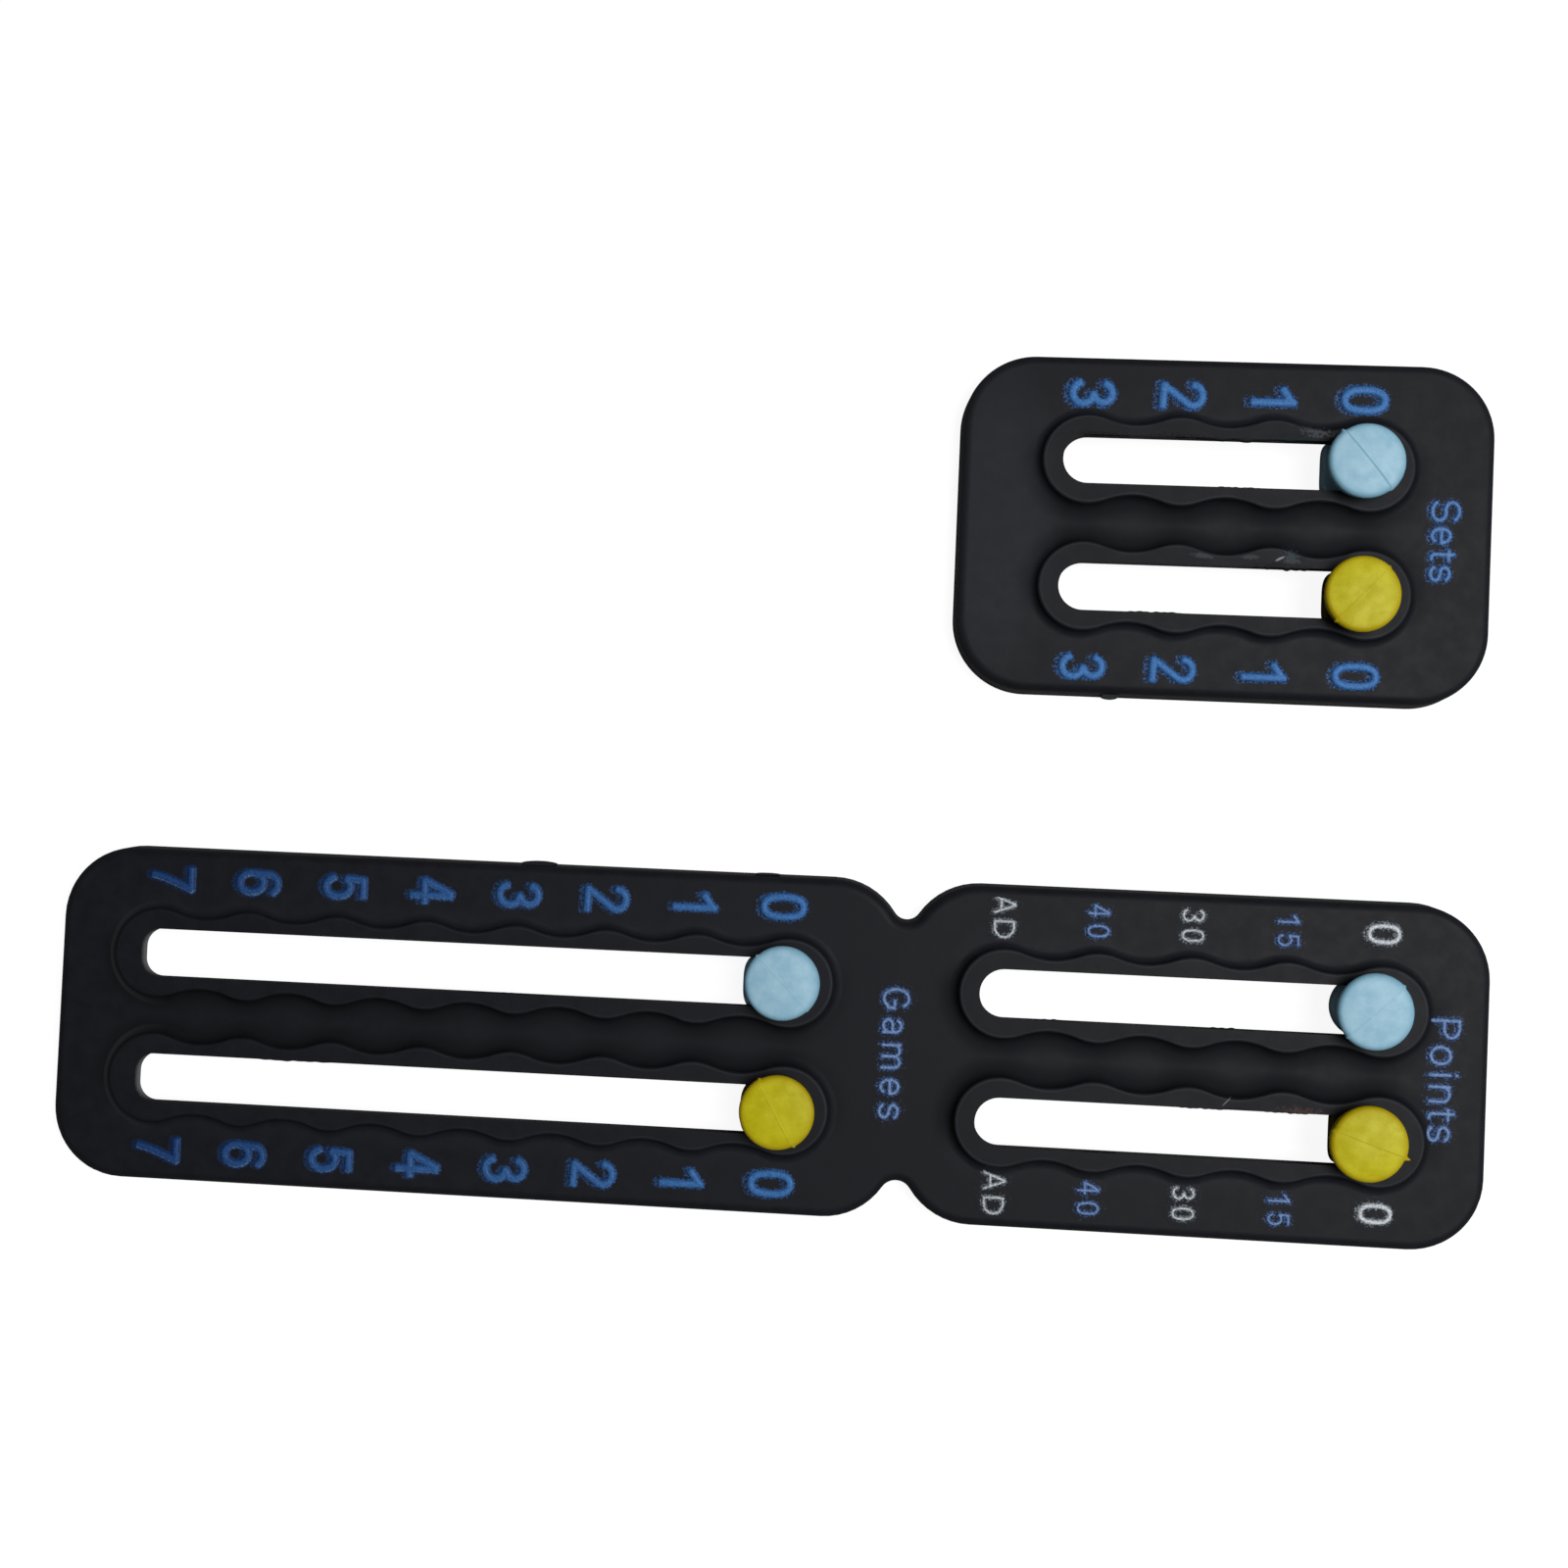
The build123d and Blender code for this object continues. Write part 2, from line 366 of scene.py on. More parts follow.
# Middle and half sizes (x, y, and z if it matters) in mm, turn in degrees, raggedness, strength, colour
rubber_marks = (
    # The small plate: painted light on its left end, then smears, a scratch and grime
    ((22.3, 54.85), (6.5, 17.0), 0, 0.02, 0.6, (38, 40, 44)),
    ((43.3, 51.78), (1.1, 0.28), -6, 0.3, 0.8, (62, 64, 69)),
    ((48.1, 51.8), (0.9, 0.26), 4, 0.3, 0.7, (60, 62, 67)),
    ((52.3, 51.85), (0.8, 0.95), 0, 0.6, 0.6, (58, 70, 75)),
    ((51.3, 50.98), (3.0, 0.36), -2, 0.3, 0.8, (4, 3, 9)),
    ((51.1, 51.75), (0.55, 0.13), 27, 0.1, 0.8, (140, 142, 148)),
    ((52.4, 64.05), (3.7, 0.55), -3, 0.35, 0.9, (8, 20, 26)),
    ((54.3, 64.75), (1.6, 0.5), -10, 0.8, 0.6, (74, 76, 82)),
    ((32.4, 63.95), (2.4, 0.26), 0, 0.8, 0.9, (4, 4, 7)),
    ((40.6, 63.95), (2.6, 0.28), 0, 0.9, 0.9, (4, 4, 7)),
    # The long plate: a scratch, a smear, grime, and painted light from the sheet on the left walls of the
    # games slots
    ((47.75, -3.2), (0.65, 0.09), 46, 0.1, 0.7, (110, 112, 118)),
    ((55.15, -3.75), (1.7, 0.34), -3, 0.9, 0.9, (62, 44, 42)),
    ((48.6, -3.9), (1.6, 0.14), -1, 0.4, 0.8, (4, 4, 7)),
    ((-64.1, 6.5, 2.5), (1.7, 3.6, 1.75), 0, 0.05, 0.95, (122, 123, 126)),
    ((-64.1, -6.5, 2.5), (1.7, 3.6, 1.75), 0, 0.05, 0.95, (122, 123, 126)),
)
any_height = 1000  # mm, the half size of a mark that reaches through the plate
print(len(rubber_marks), "marks")


# %% [markdown]
# The rubber is a very dark bluish black with a satin skin. The ink on the numbers lies on the same
# rubber, so one material does both: the numbers carry an attribute that says how much ink a point
# holds, and where that is missing, as on the plates, there is none. A speckle of noise eats into the
# edge of the ink, because real ink creeps and sprays a little over the edge of a raised number.

# %% Layers of the rubber's colour
# Plain and dull are the rubber's own tones. The others are painted: deep is painted shade round the lands,
# the next is painted light on their outer sides, edge a painted highlight on their upper edges, and lit side
# painted light on their sides at the left end.
rubber_tones = {"plain": (20, 21, 26), "dull": (24, 25, 30), "deep": (4, 4, 8), "painted_light": (34, 35, 40),
                "edge": (44, 45, 50), "lit side": (38, 39, 42)}
left_to_right = (-65 * MM, 10 * MM)  # where the light changes from the left's to the right's
left_end = (-67 * MM, -62 * MM)
# Colours of thin and thick ink in large numbers at the left and at the right, and in small print.
# The right's tones are lighter than the left's, a painted sheen that grows towards the right.
ink_tones = {
    "ink_blue": (((15, 34, 68), (33, 69, 125)), ((37, 74, 126), (68, 122, 184)),
                 ((36, 62, 106), (126, 154, 200))),
    "ink_white": (((80, 86, 92), (170, 176, 182)), ((80, 86, 92), (188, 194, 200)),
                  ((88, 94, 100), (220, 226, 232))),
}
# Colour of a painted highlight along the strokes' edge towards -Y, in large numbers at the left
painted_highlight_colour = (122, 152, 192)
left_spread = 0.14  # how much further the ink creeps at the left
small_spread = 0.06  # and in small print
speck_share = 0.85  # how far the specks eat into it


def toned(tree, amount, colour, tone):
    """The colour with so much of a tone of the rubber laid over it."""
    return blend_colours(tree, amount, colour, linear(*rubber_tones[tone]))


def over_lands(tree, colour, across, right):
    """The colour with the lands' painted shade, painted light on their outer sides and a painted highlight on
    their upper edges laid over it, and how deep the painted shade is. The deep tone covers 0.6 of the rest at
    the left and 0.42 at the right, and only the right has the painted highlight on the upper edges. At the
    left end the lands' sides also get painted light."""
    shade = rim = flank = 0.0
    for first, zero, middle in counters.values():
        inputs = {"First": first, "Zero": zero, "Middle": middle}
        land = put(tree, "ShaderNodeGroup", inputs, node_tree=shade_group).outputs
        shade = plus(tree, shade, land["Shade"])
        rim = plus(tree, rim, land["Painted Edge Highlight"])
        flank = plus(tree, flank, land["Flank"])
    deep = maths(tree, "MAXIMUM", shade, 0.0, clamp=True)
    painted_light = maths(tree, "MULTIPLY", shade, -1.0, clamp=True)
    depth = minus(tree, 0.6, times(tree, right, 0.18))
    edge_light = times(tree, right, 0.5)
    side_light = remap(tree, across, *left_end, 1.0, 0.0)
    # Painted shade, painted light on the outer sides, a painted highlight on the upper edges, and painted
    # light on the sides at the left end
    colour = toned(tree, times(tree, deep, depth), colour, "deep")
    colour = toned(tree, painted_light, colour, "painted_light")
    colour = toned(tree, times(tree, rim, edge_light), colour, "edge")
    return toned(tree, times(tree, flank, side_light), colour, "lit side"), deep


def over_marks(tree, colour):
    """The colour with every mark laid over it."""
    for middle, half_size, turn, raggedness, strength, dirt_and_painted_light in rubber_marks:
        inputs = {
            "Middle": [v * MM for v in (*middle, 0)[:3]],
            "Half Size": [v * MM for v in (*half_size, any_height)[:3]],
            "Turn": (0, 0, radians(turn)),
            "Ragged": raggedness,
        }
        mark = put(tree, "ShaderNodeGroup", inputs, node_tree=mark_group).outputs["Mask"]
        # Most marks are smears, scratches and grime, and the three broad ones are painted light
        colour = blend_colours(tree, times(tree, mark, strength), colour, linear(*dirt_and_painted_light))
    return colour


def over_ink(tree, colour, place, right):
    """The colour with the ink laid over it, and how much of the point the ink covers. The ink is
    thin where its attribute is low and the fine tone noise is dark. It covers a point where the
    attribute, with what it spreads, is above speck_share of the ragged noise, whose specks are
    harder towards the right."""
    tone = remap(tree, noise(tree, place, 5500.0, 2.0), 0.36, 0.64)
    spots = noise(tree, place, 5200.0, 2.0)
    harder = minus(tree, remap(tree, spots, 0.32, 0.68), spots)
    ragged = plus(tree, spots, times(tree, right, harder))
    small = attribute(tree, "small_print")
    painted_highlight = times(tree, attribute(tree, "painted_highlight"), tone)
    more_left = minus(tree, left_spread, times(tree, right, left_spread))
    more_small = times(tree, small, small_spread)
    inked = 0.0
    for ink, tones in ink_tones.items():
        amount = attribute(tree, ink)
        full = maths(tree, "ADD", times(tree, tone, 0.6), minus(tree, amount, 0.8), clamp=True)
        left_tone, right_tone, small_tone = (blend_colours(tree, full, linear(*thin), linear(*thick))
                                             for thin, thick in tones)
        # The painted highlight on one edge of the strokes, at the left
        left_tone = blend_colours(tree, painted_highlight, left_tone, linear(*painted_highlight_colour))
        # Lighter towards the right, a painted sheen
        tint = blend_colours(tree, small, blend_colours(tree, right, left_tone, right_tone), small_tone)
        spread = plus(tree, plus(tree, amount, more_left), more_small)
        spare = minus(tree, spread, times(tree, ragged, speck_share))
        cover = remap(tree, spare, 0.0, 0.3)
        colour = blend_colours(tree, cover, colour, tint)
        inked = plus(tree, inked, cover)
    return colour, inked


print("inks:", sorted(ink_tones))


# %% Rubber with ink
def rubber_material():
    """Black rubber, with blue and white ink where the attributes ink_blue and ink_white are above 0.
    It is duller in the lands' shade and a little glossier on the ink."""
    material = bpy.data.materials.new("black_rubber")
    material.use_nodes = True
    tree = material.node_tree
    shader = tree.nodes["Principled BSDF"].inputs
    skin = put(tree, "ShaderNodeGroup", node_tree=skin_group).outputs
    place = put(tree, "ShaderNodeTexCoord").outputs["Object"]
    across = put(tree, "ShaderNodeSeparateXYZ", {"Vector": place}).outputs["X"]
    right = remap(tree, across, *left_to_right)
    colour = toned(tree, skin["Dullness"], linear(*rubber_tones["plain"]), "dull")
    colour, deep = over_lands(tree, colour, across, right)
    colour = over_marks(tree, colour)
    colour, inked = over_ink(tree, colour, place, right)
    fill(shader["Base Color"], colour)
    plain = remap(tree, skin["Dullness"], 0.0, 1.0, 0.54, 0.62)
    rough = plus(tree, plain, times(tree, deep, 0.25))
    fill(shader["Roughness"], minus(tree, rough, times(tree, inked, 0.1)))
    bump = put(tree, "ShaderNodeBump", {"Height": skin["Height"], "Distance": MM, "Strength": 1.0})
    fill(shader["Normal"], bump.outputs[0])
    shader["Specular IOR Level"].default_value = 0.14
    return material


black_rubber = rubber_material()
for name in ("games_points_plate", "sets_plate"):
    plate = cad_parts[name]
    plate.data.materials.clear()
    plate.data.materials.append(black_rubber)
    print(name, "now has", black_rubber.name)


# %% [markdown]
# The numbers stand up from the plate as soft, rounded ridges, and the ink was wiped over their tops.
# Text objects would give them flat tops and sharp sides. Here each number is a few strokes instead,
# each stroke a line of points, and the rubber's height is worked out from the distance to them.

# %% Strokes of the numbers and letters
def bow(x, y, wide, high, start, end, count=22):
    """Points on an elliptical arc about (x, y), from the start angle to the end angle in degrees."""
    turn = np.radians(np.linspace(start, end, count))
    return np.stack([x + wide * np.cos(turn), y + high * np.sin(turn)], 1)


def ring(x, y, wide, high, square=2.5, count=64):
    """Closed superellipse, so that an O or a 0 has straighter sides than an ellipse."""
    turn = np.radians(np.linspace(0, 360, count))
    circle = np.stack([np.cos(turn), np.sin(turn)], 1)
    return np.array([x, y]) + np.array([wide, high]) * (np.sign(circle) * np.abs(circle) ** (2 / square))


def line(*points):
    """Straight runs through the points."""
    return np.array(points, float)


def joined(*runs):
    """One stroke out of several runs, drawn without lifting the pen."""
    return np.concatenate([np.atleast_2d(run) for run in runs])


# Middle lines of the strokes. A number fills the box from (-1, -2) to (1, 2), and is stretched to size.
numbers = {
    "0": [ring(0, 0, 1, 2)],
    "1": [line((0.45, 2), (0.45, -2)), line((0.4, 1.85), (-0.75, 1.0))],
    "2": [joined(bow(0, 1.05, 1, 0.95, 172, -28), line((-0.95, -1.9)), line((1.05, -2)))],
    "3": [joined(bow(0, 1.08, 0.92, 0.92, 160, -78), line((0.15, 0.12)),
                 bow(0, -0.95, 1.03, 1.05, 82, -158))],
    "4": [line((0.48, 2), (0.48, -2)), line((0.25, 2), (-1, -0.62)), line((-1, -0.75), (1.05, -0.75))],
    "5": [joined(line((0.9, 1.95), (-0.72, 1.95), (-0.85, 0.25)), bow(0, -0.72, 1, 1.28, 135, -155))],
    "6": [joined(bow(0.1, 0.95, 1, 1.05, 35, 165), bow(0, -0.75, 1, 1.25, 165, 525))],
    "7": [line((-1, 1.95), (1, 1.95)), line((1, 1.9), (0.42, 0.6), (-0.1, -0.8), (-0.4, -2))],
    "A": [line((-1, -2), (-0.08, 2)), line((1, -2), (0.08, 2)), line((-0.6, -0.75), (0.6, -0.75))],
    "D": [joined(line((-0.95, -1.9), (-0.95, 1.9)), bow(-0.25, 0, 1.25, 1.9, 88, -88), line((-0.95, -1.9)))],
}
# Letters stand on the line y = 0 and are drawn at their real size, in mm.
letters = {
    "G": [joined(bow(0, 1.42, 1, 1.42, 38, 318), line((0.98, 0.55), (0.98, 1.25), (0.25, 1.25)))],
    "a": [joined(bow(0, 1.35, 0.66, 0.72, 150, 0), line((0.66, 0.05))),
          joined(line((0.62, 1.15)), bow(-0.08, 0.6, 0.6, 0.52, 75, 300), line((0.62, 0.4)))],
    "m": [line((-1.2, 0.05), (-1.2, 2)), joined(bow(-0.6, 1.35, 0.6, 0.68, 175, 0), line((0, 0.05))),
          joined(bow(0.6, 1.35, 0.6, 0.68, 180, 0), line((1.2, 0.05)))],
    "e": [joined(line((-0.7, 1.05), (0.72, 1.05)), bow(0, 1.03, 0.74, 1.0, 5, 315))],
    "s": [joined(bow(0, 1.55, 0.66, 0.5, 20, 250), bow(0, 0.52, 0.68, 0.52, 75, -155))],
    "P": [line((-0.85, 0.05), (-0.85, 2.85)),
          joined(line((-0.85, 2.82)), bow(-0.05, 2.05, 0.95, 0.77, 88, -88), line((-0.85, 1.3)))],
    "o": [ring(0, 1.02, 0.85, 0.98, 2.1)],
    "i": [line((0, 0.05), (0, 2.0)), line((0, 2.7), (0, 2.75))],
    "n": [line((-0.75, 0.05), (-0.75, 2.0)), joined(bow(0, 1.3, 0.75, 0.72, 170, 0), line((0.75, 0.05)))],
    "t": [joined(line((-0.15, 2.5), (-0.15, 0.5)), bow(0.2, 0.42, 0.35, 0.38, 180, 290)),
          line((-0.5, 1.95), (0.45, 1.95))],
    "S": [joined(bow(0, 2.2, 0.92, 0.78, 25, 250), bow(0, 0.78, 0.95, 0.76, 75, -155))],
}
print(len(numbers), "numbers and", len(letters), "letters")


# %% [markdown]
# The height over a stroke follows from the signed distance to its edge. The distance to a line of
# points is the smallest of the distances to its pieces, which numpy works out for a whole grid at
# once. The strokes end in blunt caps, as the real ones do, and not in half circles.

# %% Distance to the strokes
def cap_distance(points, end, outward, width):
    """Distance in mm to the blunt cap at a stroke's end: a box of 0.8 width by width about the end,
    with its sides along and across outward, and corners rounded to 0.22 width."""
    away = points - end
    reach = np.abs(away @ outward) - 0.4 * width
    side = np.abs(away @ np.array([-outward[1], outward[0]])) - width / 2
    corner = 0.22 * width
    outside = np.hypot(np.maximum(reach + corner, 0), np.maximum(side + corner, 0)) - corner
    return outside + np.minimum(np.maximum(reach, side) + corner, 0)


def edge_distance(points, strokes, width):
    """Distance in mm from each point to the edge of the nearest stroke, negative inside it.
    For a straight piece from a to b it is |p - a - t(b - a)| - width / 2, with t the nearest share of
    the way along, and a stroke that isn't closed has a cap at each end."""
    nearest = np.full(len(points), 1e9)
    for stroke in strokes:
        start, step = stroke[:-1], np.diff(stroke, axis=0)
        keep = np.hypot(*step.T) > 1e-6
        start, step = start[keep], step[keep]
        away = points[:, None, :] - start[None]
        along = np.clip((away * step).sum(2) / (step**2).sum(1), 0, 1)
        gap = np.linalg.norm(away - along[..., None] * step, axis=2).min(1) - width / 2
        nearest = np.minimum(nearest, gap)
        if np.hypot(*(stroke[0] - stroke[-1])) < 1e-6:
            continue
        for end, outward in ((stroke[0], -step[0]), (stroke[-1], step[-1])):
            nearest = np.minimum(nearest, cap_distance(points, end, outward / np.hypot(*outward), width))
    return nearest


def smooth(value, low, high):
    """0 below low, 1 above high, and an S curve in between."""
    share = np.clip((value - low) / (high - low), 0, 1)
    return share * share * (3 - 2 * share)


print("distance inside a stroke:", edge_distance(np.array([[0.0, 0.0]]), [line((-1, 0), (1, 0))], 1.0))


# %% [markdown]
# Numbers and words are placed from the plates, whose boxes the frame gives. The boxes take in the
# raised lands and the low bumps on the edges, so the plates' flat top lies one land height lower, and
# the small plate's middle line is measured from its far edge, which has no bump.

# %% Places of the plates, from the frame
long_high = np.array(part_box("games_points_plate")[1]) / MM
sets_low, sets_high = (np.array(corner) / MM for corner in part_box("sets_plate"))
plate_width = 35.0
land_height = 1.0
flat_edge = 16.3  # how far from the plate's middle line its flat top reaches
land_top = long_high[2]
plate_top = land_top - land_height
sets_middle = ((sets_low[0] + sets_high[0]) / 2, sets_high[1] - plate_width / 2)


def middle_line(place):
    """Y of the middle line of the plate that carries the place: the long plate's or the small one's."""
    return sets_middle[1] if place[1] > plate_width / 2 else 0.0


print("plate top at", round(float(plate_top), 3), "mm, small plate's middle at", np.round(sets_middle, 3))


# %% [markdown]
# Each number is a small patch of rubber on a grid. Its middle rises in the rounded ridges, round them
# it lies a hair above the plate, and its rim dips just under the plate's skin, so that no edge shows.
# A face closes it underneath. All the patches of one row are one piece that rides on its plate.

# %% Patches of raised rubber
grid_step = 0.09
patch_margin = 0.95
patch_lift = 0.006
rim_dip = 0.014
rim_width = 0.3
rim_inset = 0.1  # from the patch's own edge to the place where its rim begins
number_rise = 0.3
small_rise = 0.22


def patch_grid(strokes, width, place):
    """Two grids, across and up, of places round the glyph that is to stand at place. They reach
    patch_margin past its strokes, but not over the edge of the plate's flat top."""
    every = np.concatenate(strokes)
    low, high = every.min(0) - width / 2 - patch_margin, every.max(0) + width / 2 + patch_margin
    off_middle = place[1] - middle_line(place)
    low[0], high[0] = max(low[0], off_middle - flat_edge), min(high[0], off_middle + flat_edge)
    count = np.ceil((high - low) / grid_step).astype(int) + 1
    return np.meshgrid(np.linspace(low[0], high[0], count[0]), np.linspace(low[1], high[1], count[1]))


def patch_ink(flat, depth, strokes, width):
    """Ink and a strip of painted highlight at the flat points, with depth their distance inside the strokes'
    edge.
    Ink is 0.55 s(depth, -0.4, 0.02) + 0.65 s(depth, -0.04, 0.2), with s an S curve between two
    depths, and at least half where the strokes lie if they are moved down by half their width.
    The painted highlight is 1 on the strip of a stroke that has no stroke 0.2 mm to its right."""
    ink = 0.55 * smooth(depth, -0.4, 0.02) + 0.65 * smooth(depth, -0.04, 0.2)
    smear = edge_distance(flat + np.array([0, 0.5 * width]), strokes, width)
    ink = np.maximum(ink, 0.5 * smooth(-smear, -0.5 * width, 0.1))
    # Where the painted highlight goes: the edge with no stroke just beside it
    beside = edge_distance(flat + np.array([0.2, 0]), strokes, width)
    return ink, smooth(beside, -0.08, 0.08) * smooth(depth, 0.0, 0.08)


def raised_patch(strokes, width, rise, place):
    """Grid points, their faces, the face below, and ink and strip of painted highlight of one patch. Place is
    (x, y) of the glyph's middle, and the glyph's up runs along +X and its right along -Y. The height above
    the plate is lift + rise * round(depth), with round a quarter circle softened at its foot."""
    across, up = patch_grid(strokes, width, place)
    flat = np.stack([across.ravel(), up.ravel()], 1)
    distance = edge_distance(flat, strokes, width)
    ink, painted_highlight = patch_ink(flat, -distance, strokes, width)
    distance = distance.reshape(across.shape)
    x, y = place[0] + up, place[1] - across
    inside = np.clip(-distance / (width / 2), 0, 1)
    ridge = np.sqrt(1 - (1 - inside) ** 2) * smooth(inside, 0, 0.35)
    from_rim = np.minimum(patch_margin - rim_inset - distance, flat_edge - np.abs(y - middle_line(place)))
    height = (patch_lift + rim_dip) * smooth(from_rim, 0, rim_width) - rim_dip + rise * ridge
    rim = np.zeros(across.shape, bool)
    rim[[0, -1], :] = rim[:, [0, -1]] = True
    height[rim] = -rim_dip
    verts = np.stack([x, y, plate_top + height], -1).reshape(-1, 3) * MM
    index = np.arange(across.size).reshape(across.shape)
    quads = np.stack([index[:-1, :-1], index[1:, :-1], index[1:, 1:], index[:-1, 1:]], -1).reshape(-1, 4)
    below = np.concatenate([index[0, :], index[1:, -1], index[-1, -2::-1], index[-2:0:-1, 0]])
    return verts, quads, below, ink, painted_highlight


print("grid step", grid_step, "mm")


# %% [markdown]
# A piece has to say which body it rides on. The ink
# comes along as values that the mesh holds at its points, where the rubber's material looks for them.

# %% Pieces out of meshes
def mesh_piece(name, verts, faces, body, slot_name, material, **attributes):
    """A smooth-shaded mesh object that rides on a body, takes a material and holds the attributes,
    each one a value for every point."""
    mesh = bpy.data.meshes.new(name)
    mesh.from_pydata(verts, [], faces)
    mesh.shade_smooth()
    mesh.materials.append(material)
    for kind, values in attributes.items():
        held = mesh.attributes.new(kind, "FLOAT", "POINT")
        held.data.foreach_set("value", values.astype(np.float32))
    piece = bpy.data.objects.new(name, mesh)
    bpy.context.collection.objects.link(piece)
    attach(piece, body)
    return piece


def numbers_piece(name, patches, ink_name, body, paleness=1.0):
    """One piece out of several patches, each given as the arguments of raised_patch. Small glyphs,
    known by their lower rise, also carry small_print, which is how pale their ink is."""
    verts, faces, inks, edges, seen = [], [], [], [], 0
    for patch in patches:
        points, quads, below, ink, painted_highlight = raised_patch(*patch)
        faces += (quads + seen).tolist() + [(below + seen).tolist()]
        verts.append(points)
        inks.append(ink)
        edges.append(painted_highlight)
        seen += len(points)
    small = np.full(seen, paleness if patches[0][2] < number_rise else 0.0)
    held = {ink_name: np.concatenate(inks), "small_print": small, "painted_highlight": np.concatenate(edges)}
    mesh_piece(name, np.concatenate(verts).tolist(), faces, body, "black_rubber", black_rubber, **held)
    print(name, len(patches), "patches,", seen, "points")


print("numbers take", black_rubber.name)


# %% [markdown]
# Games run from 0 to 7, sets from 0 to 3, and points through 0, 15, 30, 40 and AD. The blue numbers and
# the white ones take turns in the points. Every counter has its numbers twice, one row for each player.

# %% Rows of numbers
def number_strokes(text, size, width, pitch=0.0):
    """Strokes of a short number of that (wide, high) outer size, its characters a pitch apart."""
    scale = np.array([(size[0] - width) / 2, (size[1] - width) / 4])
    middle = (len(text) - 1) / 2
    return [stroke * scale + np.array([(i - middle) * pitch, 0])
            for i, character in enumerate(text) for stroke in numbers[character]]


def row_of(texts, places, size, width, rise, pitch=0.0):
    """Arguments for raised_patch of every number in a row."""
    return [(number_strokes(text, size, width, pitch), width, rise, place)
            for text, place in zip(texts, places)]


def along(first_x, pitch, count, y):
    """Places of a row, from its zero towards the high numbers."""
    return [(first_x - pitch * i, y) for i in range(count)]


big = (2.9, 4.9)  # outer width and height of most large numbers
for row, y, first in (("far", 14.22, 2.3), ("near", -14.12, 2.15)):
    patches = row_of("01234567", along(first, 9.19, 8, y), big, 0.86, number_rise)
    numbers_piece(f"games_{row}_numbers", patches, "ink_blue", "long_plate")
for row, y, size, width in (("far", 13.47, (3.05, 4.95), 0.95), ("near", -14.68, big, 0.88)):
    places = along(sets_middle[0] + 13.6, 9.16, 4, sets_middle[1] + y)
    patches = row_of("0123", places, size, width, number_rise)
    numbers_piece(f"sets_{row}_numbers", patches, "ink_blue", "small_plate")
for row, y in (("far", 14.27), ("near", -13.78)):
    places = along(62.97, 9.52, 5, y)
    blue = row_of(("15", "40"), (places[1], places[3]), (1.45, 2.4), 0.4, small_rise, 2.05)
    white = row_of(("30",), places[2:3], (1.42, 2.38), 0.36, small_rise, 2.05)
    white += row_of(("AD",), places[4:5], (1.98, 2.38), 0.35, small_rise, 2.5)
    white += row_of("0", places[:1], (2.2, 3.5), 0.56, small_rise)
    numbers_piece(f"points_{row}_blue_numbers", blue, "ink_blue", "long_plate")
    numbers_piece(f"points_{row}_white_numbers", white, "ink_white", "long_plate")


# %% [markdown]
# Each counter is named at its zero end in small letters. A letter's middle line is drawn at its real
# size, so a word only needs the places of its letters along the line that they stand on.

# %% Words
# The middles of the letters along Y, X of the line that they stand on, how much they are stretched
# across and up, the width of their strokes, the body, and how pale the ink is
words = {
    "Games": ((5.4, 2.6, -0.5, -3.6, -6.08), 12.95, (0.96, 0.9), 0.47, "long_plate", 1.0),
    "Points": ((5.07, 2.39, 0.44, -1.48, -3.57, -5.44), 67.9, (0.98, 0.98), 0.49, "long_plate", 1.0),
    "Sets": ((57.25, 54.75, 52.72, 50.9), 66.28, (0.98, 0.9), 0.55, "small_plate", 0.4),
}
for text, (middles, base_x, stretch, width, body, paleness) in words.items():
    centre = (middles[0] + middles[-1]) / 2
    strokes = [stroke * np.array(stretch) + np.array([centre - middle, 0])
               for character, middle in zip(text, middles) for stroke in letters[character]]
    patch = (strokes, width, small_rise, (base_x, centre))
    numbers_piece(f"{text.lower()}_word", [patch], "ink_blue", body, paleness)


# %% [markdown]
# The beads are soft spools, pressed in a two-part mould. A bead is its half section turned round, but
# the real ones show where the halves met: a fine line over the head, a small step in the rim and a bit
# of flash at each end of the line. So the surface is worked out on a grid of angle against section,
# with the angles crowded where the line runs.

# %% Material of the beads
def bead_material(name, pale, deep, shaded, shoulder_shade):
    """Satin soft plastic: slightly cloudy colour, and a skin with faint waves. The attribute lower
    marks the neck and the foot, which are darkened with painted shade, and rim the shoulder of the head
    and the mould line, which are darkened with painted shade too."""
    material = bpy.data.materials.new(name)
    material.use_nodes = True
    tree = material.node_tree
    shader = tree.nodes["Principled BSDF"].inputs
    sizes = {"Grain Height": 0.003, "Wave Size": 5.0, "Wave Height": 0.06}
    skin = put(tree, "ShaderNodeGroup", sizes, node_tree=skin_group).outputs
    colour = blend_colours(tree, skin["Dullness"], linear(*pale), linear(*deep))
    colour = blend_colours(tree, attribute(tree, "rim"), colour, linear(*shoulder_shade))
    colour = blend_colours(tree, attribute(tree, "lower"), colour, linear(*shaded))
    fill(shader["Base Color"], colour)
    fill(shader["Roughness"], remap(tree, skin["Dullness"], 0.0, 1.0, 0.42, 0.52))
    bump = put(tree, "ShaderNodeBump", {"Height": skin["Height"], "Distance": MM, "Strength": 1.0})
    fill(shader["Normal"], bump.outputs[0])
    shader["Specular IOR Level"].default_value = 0.15
    shader["Subsurface Weight"].default_value = 0.15
    shader["Subsurface Scale"].default_value = 0.0008
    shader["Subsurface Radius"].default_value = (1.0, 1.0, 1.0)
    return material


